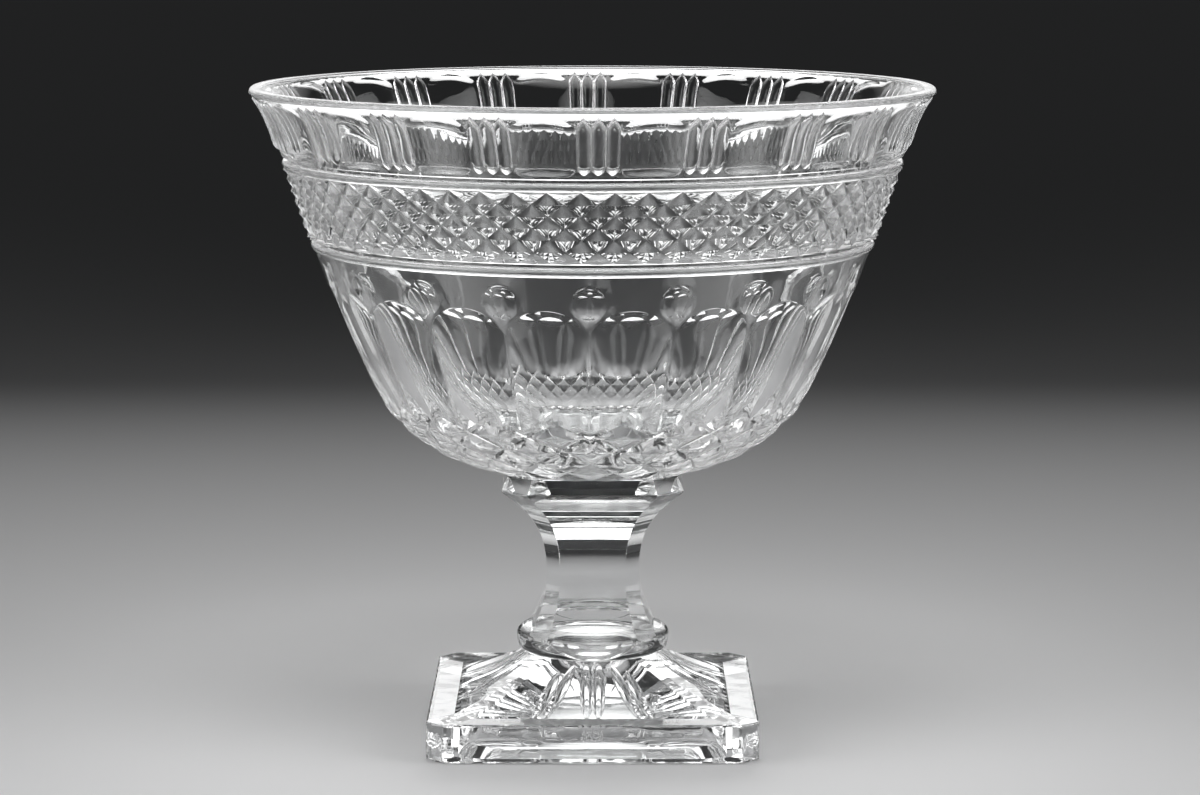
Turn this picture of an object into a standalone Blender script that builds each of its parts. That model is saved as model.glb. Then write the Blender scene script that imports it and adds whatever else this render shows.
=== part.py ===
"""Footed fruit bowl of pressed crystal glass: a patterned bowl, a square stem and a square foot.

The three pressings stand on each other and a thin bond film joins each pair of ground faces.
Sizes are in metres, +Z is up and the foot's underside is at z = 0.
"""

import math

import bmesh
import bpy
from mathutils import Matrix, Vector
from mathutils.geometry import interpolate_bezier

# Foot
FOOT_SIDE = 0.120
FOOT_CLIP = 0.0062
PLINTH_HEIGHT = 0.0142
PLINTH_LEDGE = 0.0100
FOOT_RISE = 0.0153
FOOT_BOSS_RADIUS = 0.0228
FOOT_SAG = 0.0012
RECESS_MARGIN = 0.0115
RECESS_DEPTH = 0.0050
RECESS_CORNER = 0.0120
RECESS_ROOF_SHARE = 0.82
PETAL_WIDTH = 0.0050
PETAL_DEPTH = 0.0015
PETAL_START = 0.0250
PETAL_END_MARGIN = 0.0018
PETAL_SPLAY = 21.0
PETAL_ROOT_SPREAD = 0.48
PETAL_TIP_SPREAD = 0.42
CORNER_FLUTE_ROOT = (0.0175, 0.0287)
CORNER_FLUTE_TIP = (0.0345, 0.0417)
CORNER_FLUTE_WIDTH = 0.0028
CORNER_FLUTE_DEPTH = 0.0008

# Bond films
BOND_THICKNESS = 0.0006
BOND_INSET = 0.0008

# Stem
STEM_HEIGHT = 0.0680
STEM_TOP_HALF = 0.0330
STEM_TOP_BEVEL = 0.0020
STEM_PLATE_EDGE = 0.0058
STEM_PLATE_PULL = 0.80
STEM_PLATE_CURVE = 0.0066
STEM_NECK_HALF = 0.0169
STEM_NECK_LEVEL = 0.0307
STEM_NECK_CURVE_UP = 0.0197
STEM_NECK_CURVE_DOWN = 0.0108
KNOP_HALF = 0.0224
KNOP_RADIUS = 0.0283
KNOP_CORNER = 0.0290
KNOP_LEVEL = 0.0055
KNOP_HEIGHT = 0.0090
KNOP_PULL = 0.87
KNOP_CURVE = 0.0059
KNOP_FLARE = 0.55
KNOP_END_RADIUS = 0.0268
FACET_SHARE = 0.71

# Bowl, heights above its ground pad
PAD_RADIUS = 0.0300
PAD_RECESS = 0.0010
BOWL_BASE_RADIUS = 0.0430
QUILT_HEIGHT = 0.0270
SHOULDER_RADIUS = 0.0792
FLUTE_HEIGHT = 0.0421
DOT_ZONE_HEIGHT = 0.0119
BEAD_HEIGHT = 0.0029
GROOVE_HEIGHT = 0.0020
DIAMOND_HEIGHT = 0.0248
RIB_HEIGHT = 0.0216
LIP_HEIGHT = 0.0030
UPPER_RADIUS = 0.1166
RIM_RADIUS = 0.1250
FLARE_HEIGHT = 0.0155

# Bowl, handles of its three wall curves, as shares of each curve's run and rise
LOWER_HANDLES = ((0.37, 0.138), (0.74, 0.429))
SIDE_HANDLES = ((0.40, 0.30), (0.72, 0.69))
FLARE_HANDLES = ((0.21, 0.375), (0.58, 0.795))

# Bowl, pattern
REPEATS = 20
DIAMONDS_PER_REPEAT = 3
DIAMOND_ROWS = 6
DIAMOND_RELIEF = 0.0024
GROOVE_DEPTH = 0.0005
BEAD_RELIEF = 0.0008
RIBS_PER_REPEAT = 3
RIB_PITCH = 2.4
RIB_RELIEF = 0.0011
PANEL_DEPTH = 0.0009
FLUTE_DEPTH = 0.0028
FLUTE_LAND = 0.5
FLUTE_ARCH_START = 0.72
DOT_RADIUS = 0.0064
DOT_DEPTH = 0.0016
DOT_RISE = 0.0022
QUILT_ROWS = 4
QUILT_RELIEF = 0.0022

# Bowl, inside
LIP_WALL = 0.0046
WALL = 0.0054
FLOOR_HEIGHT = 0.0074
FLOOR_RADIUS = 0.0200
INNER_CURVE_HEIGHT = 0.0400
INNER_FLOOR_REACH = 0.0350
INNER_SIDE_REACH = 0.0117
INNER_SIDE_DROP = 0.0276
WALL_TAPER = 2.2

# Bowl, lip profile: shares of the lip's wall inwards and of its height down
OUTER_LIP = ((0.0, 0.62), (0.06, 0.25), (0.30, 0.0))
INNER_LIP = ((0.70, 0.0), (1.0, 0.45))

# Levels and shared values that follow from the sizes
FOOT_HALF = FOOT_SIDE / 2
PYRAMID_HALF = FOOT_HALF - PLINTH_LEDGE
FOOT_TOP = PLINTH_HEIGHT + FOOT_RISE
STEM_FOOT = FOOT_TOP + BOND_THICKNESS
STEM_TOP = STEM_FOOT + STEM_HEIGHT
BOWL_FOOT = STEM_TOP + BOND_THICKNESS
FLUTE_TOP = QUILT_HEIGHT + FLUTE_HEIGHT
DOT_TOP = FLUTE_TOP + DOT_ZONE_HEIGHT
DIAMOND_BOTTOM = DOT_TOP + BEAD_HEIGHT + GROOVE_HEIGHT
DIAMOND_TOP = DIAMOND_BOTTOM + DIAMOND_HEIGHT
RIB_BOTTOM = DIAMOND_TOP + BEAD_HEIGHT + GROOVE_HEIGHT
RIB_TOP = RIB_BOTTOM + RIB_HEIGHT
BOWL_HEIGHT = RIB_TOP + LIP_HEIGHT
REPEAT_ANGLE = 360.0 / REPEATS
DOT_LEVEL = FLUTE_TOP + DOT_RISE

for old in list(bpy.data.objects):
    bpy.data.objects.remove(old, do_unlink=True)


def glass(name, colour, roughness):
    """One plain material, so that each node carries its own colour and finish."""
    material = bpy.data.materials.new(name)
    material.use_nodes = True
    shader = material.node_tree.nodes["Principled BSDF"]
    shader.inputs["Base Color"].default_value = (*colour, 1.0)
    shader.inputs["Roughness"].default_value = roughness
    shader.inputs["Metallic"].default_value = 0.0
    material.diffuse_color = (*colour, 1.0)
    return material


def add_object(name, bm, material):
    """Closes the bmesh's normals and links it as a named object."""
    bmesh.ops.recalc_face_normals(bm, faces=bm.faces)
    mesh = bpy.data.meshes.new(name)
    bm.to_mesh(mesh)
    bm.free()
    if material:
        mesh.materials.append(material)
    made = bpy.data.objects.new(name, mesh)
    bpy.context.collection.objects.link(made)
    return made


def cut_with(target, cutter):
    """Subtracts a hidden helper from a node."""
    cutter.hide_render = True
    cutter.display_type = "WIRE"
    cut = target.modifiers.new(cutter.name, "BOOLEAN")
    cut.operation = "DIFFERENCE"
    cut.solver = "EXACT"
    cut.object = cutter


def bezier(start, handle_1, handle_2, end, count):
    """(radius, level) pairs along one cubic curve."""
    points = [Vector((p[0], p[1], 0.0)) for p in (start, handle_1, handle_2, end)]
    return [(p.x, p.y) for p in interpolate_bezier(*points, count)]


def radius_at(curve, level):
    """The radius of a curve at a level, along straight pieces between its points."""
    ordered = sorted(curve, key=lambda point: point[1])
    if level <= ordered[0][1]:
        return ordered[0][0]
    for below, above in zip(ordered, ordered[1:]):
        if level <= above[1]:
            share = (level - below[1]) / max(above[1] - below[1], 1e-9)
            return below[0] + share * (above[0] - below[0])
    return ordered[-1][0]


def wrap_grid(bm, tag, angles, rows, place):
    """Bends a flat grid into a ring stack: place(angle, row) gives (angle, radius, level).

    Every vertex keeps its row in the "row" layer, as tag + row, so that stacks can be bridged.
    """
    layer = bm.verts.layers.int.get("row") or bm.verts.layers.int.new("row")
    columns = len(angles)
    made = bmesh.ops.create_grid(bm, x_segments=columns, y_segments=rows, size=0.5)["verts"]
    for vert in made:
        column = round((vert.co.x + 0.5) * columns) % columns
        row = round((vert.co.y + 0.5) * rows)
        angle, radius, level = place(angles[column], row)
        turn = math.radians(angle)
        vert.co = Vector((radius * math.cos(turn), radius * math.sin(turn), level))
        vert[layer] = tag + row
    bmesh.ops.remove_doubles(bm, verts=made, dist=1e-6)


def ring_edges(bm, value):
    """The edges that lie along one tagged row."""
    layer = bm.verts.layers.int["row"]
    return [edge for edge in bm.edges if all(vert[layer] == value for vert in edge.verts)]


def bridge(bm, lower, upper):
    """Joins two tagged rows, which may have different numbers of vertices."""
    bmesh.ops.bridge_loops(bm, edges=ring_edges(bm, lower) + ring_edges(bm, upper))


def cap(bm, value):
    """Closes one tagged row with a flat face."""
    bmesh.ops.edgeloop_fill(bm, edges=ring_edges(bm, value))


def even_angles(count):
    return [360.0 * index / count for index in range(count)]


def clipped_square(half, flat_half, angle):
    """Distance from the axis to a square with clipped corners, in the direction of the angle."""
    turn = math.radians((angle + 45.0) % 90.0 - 45.0)
    side = half / math.cos(turn)
    corner = (half + flat_half) / (math.cos(turn) + abs(math.sin(turn)))
    return min(side, corner)


def rounded_square(half, corner, angle):
    """Distance from the axis to a square with round corners, in the direction of the angle."""
    turn = abs(math.radians((angle + 45.0) % 90.0 - 45.0))
    straight = half - corner
    if half * math.tan(turn) <= straight:
        return half / math.cos(turn)
    along = straight * (math.cos(turn) + math.sin(turn))
    across = straight * (math.cos(turn) - math.sin(turn))
    return along + math.sqrt(max(corner * corner - across * across, 0.0))


def quarter_angles(corner_angle, side_steps, corner_steps):
    """Directions that meet each clipped corner exactly, for all four sides."""
    angles = []
    for side in range(4):
        for step in range(side_steps):
            angles.append(side * 90.0 - corner_angle + 2.0 * corner_angle * step / side_steps)
        gap = 90.0 - 2.0 * corner_angle
        for step in range(corner_steps):
            angles.append(side * 90.0 + corner_angle + gap * step / corner_steps)
    return angles


# Foot
def foot_slope(share):
    """Level of the four-sided top, from the plinth (0) to the boss (1), a little hollow."""
    return PLINTH_HEIGHT + FOOT_RISE * share - FOOT_SAG * math.sin(math.pi * share)


def foot_point(angle, row):
    """The foot from the middle of its hollow underside, round the plinth and up to the boss."""
    recess_half = FOOT_HALF - RECESS_MARGIN
    outer = clipped_square(FOOT_HALF, FOOT_HALF - FOOT_CLIP, angle)
    if row == 0:
        return angle, RECESS_ROOF_SHARE * rounded_square(recess_half, RECESS_CORNER, angle), RECESS_DEPTH
    if row == 1:
        return angle, rounded_square(recess_half, RECESS_CORNER, angle), 0.0
    if row == 2:
        return angle, outer, 0.0
    if row == 3:
        return angle, outer, PLINTH_HEIGHT
    share = (row - 4) / 4
    square = clipped_square(PYRAMID_HALF, PYRAMID_HALF, angle)
    radius = square + share * (FOOT_BOSS_RADIUS - square)
    return angle, radius, foot_slope(share)


def along_slope(x, y):
    """A point of a foot side face (toward -Y), by its place in plan."""
    share = (PYRAMID_HALF + y) / (PYRAMID_HALF - FOOT_BOSS_RADIUS)
    return Vector((x, y, foot_slope(min(max(share, 0.0), 1.0))))


def add_lens(bm, start, end, width, depth, turns):
    """One long lens-shaped cutter on the face toward -Y, repeated on the four sides."""
    middle = (start + end) / 2
    length = (end - start).normalized()
    slope = math.atan2(FOOT_RISE, PYRAMID_HALF - FOOT_BOSS_RADIUS)
    normal = Vector((0.0, -math.sin(slope), math.cos(slope)))
    side = length.cross(normal).normalized()
    normal = side.cross(length).normalized()
    frame = Matrix((side, length, normal)).transposed().to_4x4()
    size = Matrix.Diagonal((width / 2, (end - start).length / 2, depth, 1.0))
    for turn in range(turns):
        spin = Matrix.Rotation(math.radians(90.0 * turn), 4, "Z")
        place = spin @ Matrix.Translation(middle) @ frame @ size
        bmesh.ops.create_uvsphere(bm, u_segments=10, v_segments=8, radius=1.0, matrix=place)


def petal_cutters(hand):
    """One of each pair of petal cuts, and the long flute beside each corner ridge."""
    bm = bmesh.new()
    tip_y = -(PYRAMID_HALF - PETAL_END_MARGIN)
    for turn in (-PETAL_SPLAY, 0.0, PETAL_SPLAY):
        across = math.tan(math.radians(turn))
        start_y = -PETAL_START
        start = along_slope(start_y * -across + hand * PETAL_WIDTH * PETAL_ROOT_SPREAD, start_y)
        end = along_slope(tip_y * -across + hand * PETAL_WIDTH * PETAL_TIP_SPREAD, tip_y)
        add_lens(bm, start, end, PETAL_WIDTH, PETAL_DEPTH, 4)
    start = along_slope(hand * CORNER_FLUTE_ROOT[0], -CORNER_FLUTE_ROOT[1])
    end = along_slope(hand * CORNER_FLUTE_TIP[0], -CORNER_FLUTE_TIP[1])
    add_lens(bm, start, end, CORNER_FLUTE_WIDTH, CORNER_FLUTE_DEPTH, 4)
    name = "petal_cutter_right" if hand > 0 else "petal_cutter_left"
    return add_object(name, bm, None)


foot_corner = math.degrees(math.atan2(FOOT_HALF - FOOT_CLIP, FOOT_HALF))
bm = bmesh.new()
wrap_grid(bm, 0, quarter_angles(foot_corner, 10, 2), 8, foot_point)
cap(bm, 0)
cap(bm, 8)
foot = add_object("square_foot", bm, glass("foot_glass", (0.90, 0.93, 0.94), 0.05))
cut_with(foot, petal_cutters(-1))
cut_with(foot, petal_cutters(1))

# Stem
stem_upper = bezier(
    (STEM_TOP_HALF, STEM_TOP - STEM_PLATE_EDGE),
    (STEM_PLATE_PULL * STEM_TOP_HALF, STEM_TOP - STEM_PLATE_EDGE - STEM_PLATE_CURVE),
    (STEM_NECK_HALF, STEM_FOOT + STEM_NECK_LEVEL + STEM_NECK_CURVE_UP),
    (STEM_NECK_HALF, STEM_FOOT + STEM_NECK_LEVEL),
    9,
)
stem_lower = bezier(
    (STEM_NECK_HALF, STEM_FOOT + STEM_NECK_LEVEL),
    (STEM_NECK_HALF, STEM_FOOT + STEM_NECK_LEVEL - STEM_NECK_CURVE_DOWN),
    (KNOP_PULL * KNOP_HALF, STEM_FOOT + KNOP_HEIGHT + KNOP_CURVE),
    (KNOP_HALF, STEM_FOOT + KNOP_HEIGHT),
    8,
)
stem_levels = [(STEM_TOP_HALF - STEM_TOP_BEVEL, STEM_TOP)] + stem_upper + stem_lower[1:]
KNOP_STEPS = 8


def knop_roll(height):
    """Radius of the turned roll that swells out under each flat, by height above the ground end."""
    if height > KNOP_LEVEL:
        share = (height - KNOP_LEVEL) / (KNOP_HEIGHT - KNOP_LEVEL)
        return KNOP_HALF + (KNOP_RADIUS - KNOP_HALF) * math.sqrt(max(0.0, 1.0 - share * share))
    share = 1.0 - height / KNOP_LEVEL
    return KNOP_END_RADIUS + (KNOP_RADIUS - KNOP_END_RADIUS) * math.sqrt(max(0.0, 1.0 - share * share))


def knop_reach(height, angle):
    """Distance from the axis to the knop: the roll, or the square stem where its corners stand out."""
    half = KNOP_HALF + KNOP_FLARE * (KNOP_HEIGHT - height)
    share = 1.0 - height / KNOP_HEIGHT
    corner = KNOP_END_RADIUS + (KNOP_CORNER - KNOP_END_RADIUS) * math.sqrt(max(0.0, 1.0 - share * share))
    return max(knop_roll(height), min(clipped_square(half, FACET_SHARE * half, angle), corner))


def stem_point(angle, row):
    """The stem from its ground top down to its ground round end under the knop."""
    if row < len(stem_levels):
        half, level = stem_levels[row]
        return angle, clipped_square(half, FACET_SHARE * half, angle), level
    height = KNOP_HEIGHT * (1.0 - (row - len(stem_levels) + 1) / KNOP_STEPS)
    return angle, knop_reach(height, angle), STEM_FOOT + height


stem_corner = math.degrees(math.atan(FACET_SHARE))
stem_rows = len(stem_levels) - 1 + KNOP_STEPS
bm = bmesh.new()
wrap_grid(bm, 0, quarter_angles(stem_corner, 8, 2), stem_rows, stem_point)
cap(bm, 0)
cap(bm, stem_rows)
add_object("stem", bm, glass("stem_glass", (0.92, 0.94, 0.94), 0.05))


# Bond films
def bond_film(name, level, radius):
    bm = bmesh.new()
    middle = Matrix.Translation((0.0, 0.0, level + BOND_THICKNESS / 2))
    bmesh.ops.create_cone(
        bm, cap_ends=True, segments=64, radius1=radius, radius2=radius, depth=BOND_THICKNESS, matrix=middle
    )
    for vert in bm.verts:
        vert.co.z = level if vert.co.z < level + BOND_THICKNESS / 2 else level + BOND_THICKNESS
    add_object(name, bm, glass(name + "_resin", (0.86, 0.88, 0.86), 0.30))


bond_film("foot_bond", FOOT_TOP, min(FOOT_BOSS_RADIUS, KNOP_END_RADIUS) - BOND_INSET)
bond_film("bowl_bond", STEM_TOP, min(STEM_TOP_HALF - STEM_TOP_BEVEL, PAD_RADIUS) - BOND_INSET)

# Bowl walls
def wall_curve(start, end, handles, count):
    """One curve of the wall, with its handles given as shares of its run and rise."""
    run = end[0] - start[0]
    rise = end[1] - start[1]
    pulled = [(start[0] + across * run, start[1] + up * rise) for across, up in handles]
    return bezier(start, pulled[0], pulled[1], end, count)


flare_start = BOWL_HEIGHT - FLARE_HEIGHT
rim_level = BOWL_HEIGHT - OUTER_LIP[0][1] * LIP_HEIGHT
base_edge = (BOWL_BASE_RADIUS, PAD_RECESS)
shoulder = (SHOULDER_RADIUS, QUILT_HEIGHT)
flare_edge = (UPPER_RADIUS, flare_start)
lower_wall = wall_curve(base_edge, shoulder, LOWER_HANDLES, 40)
side_wall = wall_curve(shoulder, flare_edge, SIDE_HANDLES, 40)
flare_wall = wall_curve(flare_edge, (RIM_RADIUS, rim_level), FLARE_HANDLES, 20)
wall = lower_wall + side_wall[1:] + flare_wall[1:]

inner_join_level = FLOOR_HEIGHT + INNER_CURVE_HEIGHT
inner_join = radius_at(wall, inner_join_level) - WALL
inner_low = bezier(
    (FLOOR_RADIUS, FLOOR_HEIGHT),
    (FLOOR_RADIUS + INNER_FLOOR_REACH, FLOOR_HEIGHT),
    (inner_join - INNER_SIDE_REACH, inner_join_level - INNER_SIDE_DROP),
    (inner_join, inner_join_level),
    20,
)
INNER_LOW_ROWS = 6
INNER_HIGH_ROWS = 4


def repeat_offset(angle):
    """Angle from the nearest middle of a repeat's start, in degrees."""
    return (angle + REPEAT_ANGLE / 2) % REPEAT_ANGLE - REPEAT_ANGLE / 2


# Bowl, base pad and quilt: raised cushions in staggered rows
def quilt_share(angle, step):
    """0 in the middle of a cushion, 1 along the valleys round it."""
    column = repeat_offset(angle) / (REPEAT_ANGLE / 2)
    near_row = min(abs(step - even) + abs(column) for even in range(0, QUILT_ROWS + 1, 2))
    off_row = min(abs(step - odd) + 1.0 - abs(column) for odd in range(1, QUILT_ROWS + 1, 2))
    return min(near_row, off_row, 1.0)


def quilt_point(angle, row):
    if row == 0:
        return angle, PAD_RADIUS, BOWL_FOOT
    if row == 1:
        return angle, PAD_RADIUS, BOWL_FOOT + PAD_RECESS
    step = (row - 2) / 2
    share = step / QUILT_ROWS
    level = PAD_RECESS + (QUILT_HEIGHT - PAD_RECESS) * share ** 1.25
    drop = QUILT_RELIEF * quilt_share(angle, step) ** 2 * min(1.0, 2.0 * step)
    return angle, radius_at(wall, level) - drop, BOWL_FOOT + level


# Bowl, flutes with round-arched tops
FLUTE_ROWS = 6
FLUTE_FULL = (REPEAT_ANGLE - FLUTE_LAND) / 2
flute_angles = []
for repeat in range(REPEATS):
    flute_angles.append(REPEAT_ANGLE * repeat)
    for share in (-1.0, -0.5, 0.0, 0.5, 1.0):
        flute_angles.append(REPEAT_ANGLE * (repeat + 0.5) + FLUTE_FULL * share)
FLUTE_SHARES = (0.0, 0.30, FLUTE_ARCH_START, 0.86, 0.95, 1.0)


def flute_point(angle, row):
    if row == FLUTE_ROWS:
        level = DOT_TOP
        return angle, radius_at(wall, level), BOWL_FOOT + level
    share = FLUTE_SHARES[row]
    level = QUILT_HEIGHT + FLUTE_HEIGHT * share
    if abs(repeat_offset(angle)) < 1e-6:
        return angle, radius_at(wall, level), BOWL_FOOT + level
    middle = (angle // REPEAT_ANGLE + 0.5) * REPEAT_ANGLE
    place = (angle - middle) / FLUTE_FULL
    rise = max(0.0, (share - FLUTE_ARCH_START) / (1.0 - FLUTE_ARCH_START))
    width = max(math.sqrt(1.0 - rise * rise), 0.12)
    depth = FLUTE_DEPTH * (1.0 - rise * rise) * min(1.0, 0.45 + 2.0 * share)
    radius = radius_at(wall, level) - depth * (1.0 - place * place)
    return middle + place * FLUTE_FULL * width, radius, BOWL_FOOT + level


# Bowl, bead rings, grooves and the band of raised diamonds
HALF_STEPS = 2 * DIAMONDS_PER_REPEAT * REPEATS
EDGE_ROWS = 4


def bead_and_groove(step, lower):
    """Level and relief of one ring beside the diamonds: each bead lies below its groove."""
    groove = -DIAMOND_RELIEF / 2 - GROOVE_DEPTH
    if lower:
        levels = (DOT_TOP, DOT_TOP + BEAD_HEIGHT / 2, DOT_TOP + BEAD_HEIGHT, DIAMOND_BOTTOM)
        return levels[step], (0.0, BEAD_RELIEF, groove, groove)[step]
    bead_top = DIAMOND_TOP + BEAD_HEIGHT
    levels = (DIAMOND_TOP, DIAMOND_TOP + BEAD_HEIGHT / 2, bead_top, RIB_BOTTOM)
    return levels[step - 1], (groove, BEAD_RELIEF, groove, 0.0)[step - 1]


def diamond_point(angle, row):
    column = round(angle * HALF_STEPS / 360.0)
    half_row = row - EDGE_ROWS
    if not 0 <= half_row <= DIAMOND_ROWS:
        level, relief = bead_and_groove(row if half_row < 0 else half_row - DIAMOND_ROWS, half_row < 0)
        return angle, radius_at(wall, level) + relief, BOWL_FOOT + level
    level = DIAMOND_BOTTOM + DIAMOND_HEIGHT * half_row / DIAMOND_ROWS
    raised = (column + half_row) % 2 == 0
    relief = DIAMOND_RELIEF if raised else 0.0
    return angle, radius_at(wall, level) - DIAMOND_RELIEF * 0.5 + relief, BOWL_FOOT + level


# Bowl, groups of upright ribs between shallow panels, and the lip
RIB_HALF = RIB_PITCH * RIBS_PER_REPEAT / 2
rib_angles = []
for repeat in range(REPEATS):
    for step in range(2 * RIBS_PER_REPEAT + 1):
        rib_angles.append(REPEAT_ANGLE * repeat - RIB_HALF + RIB_PITCH / 2 * step)
    panel = REPEAT_ANGLE - 2 * RIB_HALF
    for step in range(1, 3):
        rib_angles.append(REPEAT_ANGLE * repeat + RIB_HALF + panel * step / 3)
RIB_SHARES = (0.0, 0.12, 0.84, 1.0)


def rib_point(angle, row):
    offset = repeat_offset(angle)
    if row < len(RIB_SHARES):
        share = RIB_SHARES[row]
        level = RIB_BOTTOM + RIB_HEIGHT * share
        radius = radius_at(wall, level)
        ends = row in (0, len(RIB_SHARES) - 1)
        if not ends and abs(offset) < RIB_HALF - 1e-6:
            crest = round((offset + RIB_HALF) / (RIB_PITCH / 2)) % 2 == 1
            radius += RIB_RELIEF if crest else 0.0
        elif not ends and abs(offset) > RIB_HALF + 1e-6 and row < len(RIB_SHARES) - 1:
            panel_half = REPEAT_ANGLE / 2 - RIB_HALF
            away = (REPEAT_ANGLE / 2 - abs(offset)) / panel_half
            radius -= PANEL_DEPTH * (1.0 - away * away)
        return angle, radius, BOWL_FOOT + level
    inwards, down = OUTER_LIP[row - len(RIB_SHARES)]
    return angle, RIM_RADIUS - inwards * LIP_WALL, BOWL_FOOT + BOWL_HEIGHT - down * LIP_HEIGHT


def inner_point(angle, row):
    """The smooth inside, from the lip down to the edge of the flat floor."""
    if row < len(INNER_LIP):
        inwards, down = INNER_LIP[row]
        return angle, RIM_RADIUS - inwards * LIP_WALL, BOWL_FOOT + BOWL_HEIGHT - down * LIP_HEIGHT
    if row < len(INNER_LIP) + INNER_HIGH_ROWS:
        share = (row - 1) / INNER_HIGH_ROWS
        top = BOWL_HEIGHT - INNER_LIP[-1][1] * LIP_HEIGHT
        level = top + (inner_join_level - top) * share ** 1.3
        thick = LIP_WALL + (WALL - LIP_WALL) * min(1.0, WALL_TAPER * share)
        return angle, radius_at(wall, level) - thick, BOWL_FOOT + level
    share = (row - 1 - INNER_HIGH_ROWS) / INNER_LOW_ROWS
    index = round((len(inner_low) - 1) * (1.0 - share))
    radius, level = inner_low[index]
    return angle, radius, BOWL_FOOT + level


QUILT, FLUTE, DIAMOND, RIB, INNER = 0, 100, 200, 300, 400
quilt_last = 2 + 2 * QUILT_ROWS
diamond_last = DIAMOND_ROWS + 2 * EDGE_ROWS
rib_last = len(RIB_SHARES) + len(OUTER_LIP) - 1
inner_last = 1 + INNER_HIGH_ROWS + INNER_LOW_ROWS
bm = bmesh.new()
wrap_grid(bm, DIAMOND, even_angles(HALF_STEPS), diamond_last, diamond_point)
layer = bm.verts.layers.int["row"]
valley = []
for vert in bm.verts:
    half_row = vert[layer] - DIAMOND - EDGE_ROWS
    column = round(math.degrees(math.atan2(vert.co.y, vert.co.x)) * HALF_STEPS / 360.0)
    if 0 <= half_row <= DIAMOND_ROWS and (column + half_row) % 2 == 1:
        valley.append(vert)
bmesh.ops.connect_verts(bm, verts=valley)
wrap_grid(bm, QUILT, even_angles(4 * REPEATS), quilt_last, quilt_point)
valley = []
for vert in bm.verts:
    row = vert[layer] - QUILT
    angle = math.degrees(math.atan2(vert.co.y, vert.co.x))
    if 3 <= row <= quilt_last and quilt_share(angle, (row - 2) / 2) > 0.99:
        valley.append(vert)
bmesh.ops.connect_verts(bm, verts=valley)
wrap_grid(bm, FLUTE, flute_angles, FLUTE_ROWS, flute_point)
wrap_grid(bm, RIB, rib_angles, rib_last, rib_point)
wrap_grid(bm, INNER, even_angles(3 * REPEATS), inner_last, inner_point)
cap(bm, QUILT)
bridge(bm, QUILT + quilt_last, FLUTE)
bridge(bm, FLUTE + FLUTE_ROWS, DIAMOND)
bridge(bm, DIAMOND + diamond_last, RIB)
bridge(bm, RIB + rib_last, INNER)
cap(bm, INNER + inner_last)
bowl = add_object("bowl", bm, glass("bowl_glass", (0.94, 0.95, 0.95), 0.05))

# Round thumbprint dots above the flute ridges
ball_radius = (DOT_RADIUS * DOT_RADIUS + DOT_DEPTH * DOT_DEPTH) / (2 * DOT_DEPTH)
dot_wall = radius_at(wall, DOT_LEVEL)
wall_step = radius_at(wall, DOT_LEVEL + DOT_RADIUS) - radius_at(wall, DOT_LEVEL - DOT_RADIUS)
lean = math.atan2(wall_step, 2.0 * DOT_RADIUS)
bm = bmesh.new()
for repeat in range(REPEATS):
    spin = Matrix.Rotation(math.radians(REPEAT_ANGLE * repeat), 4, "Z")
    out = Vector((math.cos(lean), 0.0, -math.sin(lean)))
    middle = Vector((dot_wall, 0.0, BOWL_FOOT + DOT_LEVEL)) + out * (ball_radius - DOT_DEPTH)
    pole = Matrix.Rotation(math.radians(90.0) + lean, 4, "Y")
    bmesh.ops.create_uvsphere(
        bm, u_segments=12, v_segments=12, radius=ball_radius, matrix=spin @ Matrix.Translation(middle) @ pole
    )
cut_with(bowl, add_object("dot_cutter", bm, None))
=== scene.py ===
# %% [markdown]
# # Footed fruit bowl in pressed crystal
#
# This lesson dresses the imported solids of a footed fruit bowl. On the real object three glass
# pressings stand on each other: a patterned bowl, a waisted square stem and a square foot, with a
# thin film of clear adhesive at each joint. The solids already hold the true sizes, so every fine
# surface below takes its place from the frame and only adds what a press mould leaves in the glass:
# round flutes, sharp diamonds, pencil ribs, thumbprints and soft, fire-polished edges.

# %% Load the frame
import math

import bmesh
import bpy
import numpy as np
from mathutils import Matrix, Vector
from mathutils.geometry import interpolate_bezier


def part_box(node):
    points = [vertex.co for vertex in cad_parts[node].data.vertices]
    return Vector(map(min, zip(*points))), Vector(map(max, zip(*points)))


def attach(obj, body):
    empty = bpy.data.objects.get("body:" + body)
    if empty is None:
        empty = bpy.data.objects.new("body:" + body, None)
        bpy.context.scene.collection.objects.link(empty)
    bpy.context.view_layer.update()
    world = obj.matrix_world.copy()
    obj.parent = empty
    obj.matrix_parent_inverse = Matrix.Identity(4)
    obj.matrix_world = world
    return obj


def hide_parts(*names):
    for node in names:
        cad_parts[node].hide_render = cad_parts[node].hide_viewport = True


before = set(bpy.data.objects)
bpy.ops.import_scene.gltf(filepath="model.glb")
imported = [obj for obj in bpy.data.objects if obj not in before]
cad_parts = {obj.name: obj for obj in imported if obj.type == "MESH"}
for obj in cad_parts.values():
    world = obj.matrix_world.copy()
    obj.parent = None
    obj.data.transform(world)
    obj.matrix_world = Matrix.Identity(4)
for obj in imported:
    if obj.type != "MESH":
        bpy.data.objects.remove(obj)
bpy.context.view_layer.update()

print("nodes in the frame:", sorted(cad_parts))

# %% [markdown]
# ## Where the bowl sits
#
# The bowl's lowest and highest levels and its rim radius come from the frame. The heights of the
# pressed bands are those of the mould, counted upwards from the ground pad: quilted cushions, tall
# flutes, a plain band with thumbprints, a bead, diamonds, a second bead, ribs and the rolled lip.

# %% Measure the frame and stack the bands
MM = 0.001
bowl_low, bowl_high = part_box("bowl")
BOWL_FOOT = bowl_low.z
BOWL_HEIGHT = bowl_high.z - bowl_low.z
RIM_RADIUS = bowl_high.x

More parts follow.
